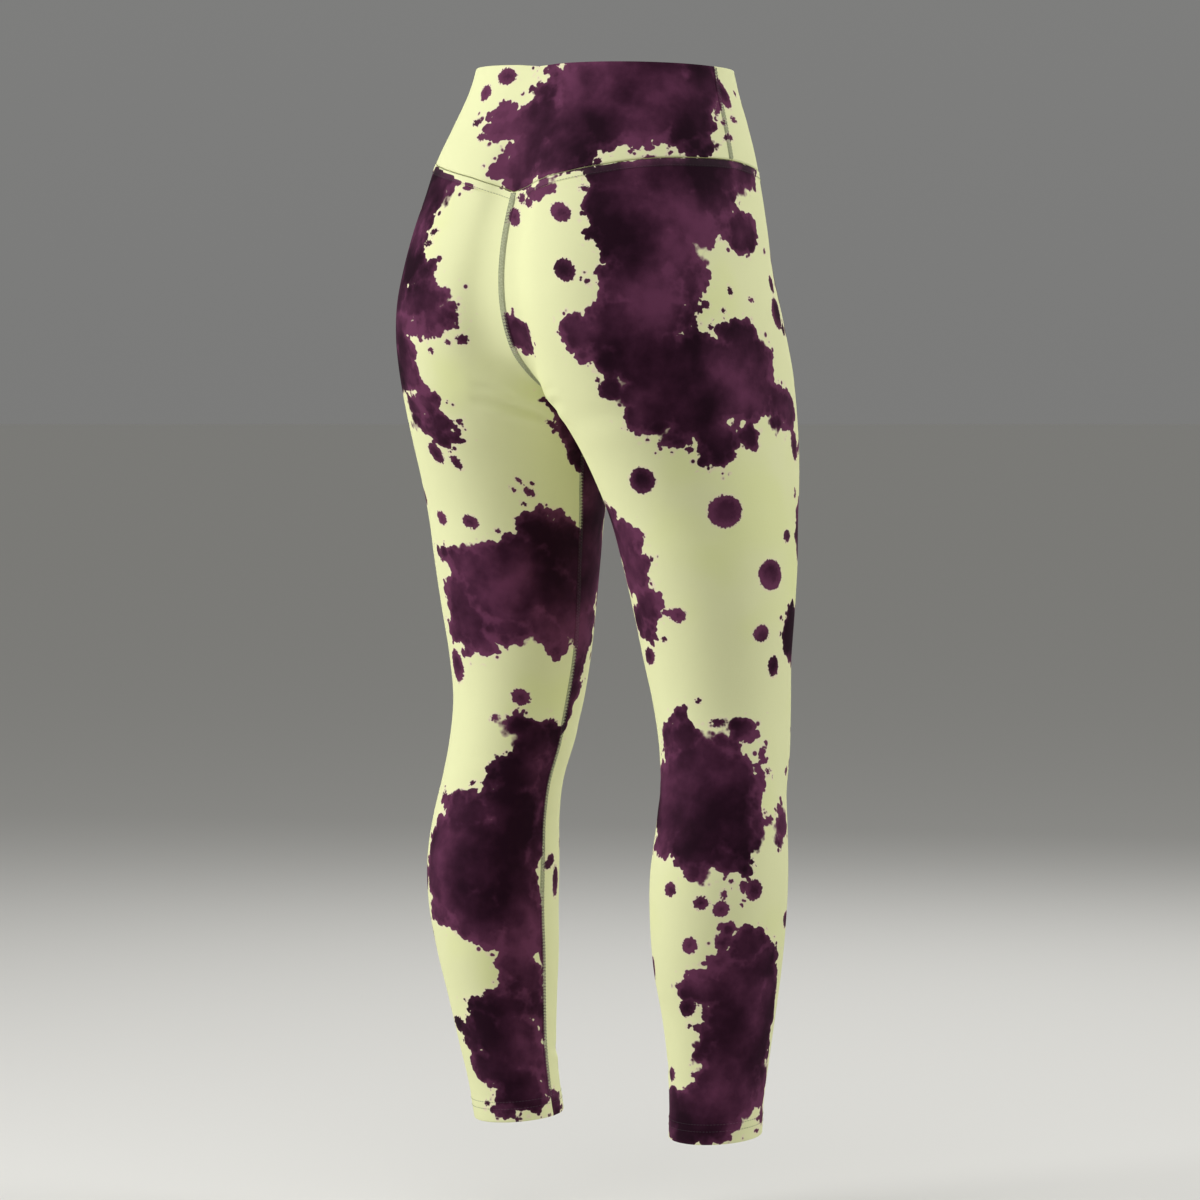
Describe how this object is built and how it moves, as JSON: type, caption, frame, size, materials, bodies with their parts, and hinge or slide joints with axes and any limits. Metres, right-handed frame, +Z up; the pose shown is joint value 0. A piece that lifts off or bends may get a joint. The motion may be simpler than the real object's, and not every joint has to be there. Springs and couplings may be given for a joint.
{
  "type": "leggings",
  "caption": "High-waisted seven-eighths leggings filled out as worn, with a V-backed waistband, flatlock seams and turned-up hems",
  "frame": {"origin": "middle of the waist, level with the waistband's top edge at the back corners, where the wearer holds the garment up", "axes": "+Z up along the body, -Y the way the wearer faces, +X the wearer's left"},
  "size_m": [0.3638, 0.2514, 0.9053],
  "materials": {
    "jersey": "fine stretch jersey, pale lime with dark plum blotches, soft low sheen",
    "waistband": "two plies of the same jersey with the same blotches",
    "stitching": "grey-green flatlock thread"
  },
  "bodies": {
    "root": {"waistband_front": "waistband", "waistband_back": "waistband", "leg_left": "jersey", "leg_right": "jersey", "waist_seam": "stitching", "rise_seam_front": "stitching", "rise_seam_back": "stitching", "inseam_left": "stitching", "inseam_right": "stitching", "side_seam_left": "stitching", "side_seam_right": "stitching"}
  },
  "joints": []
}
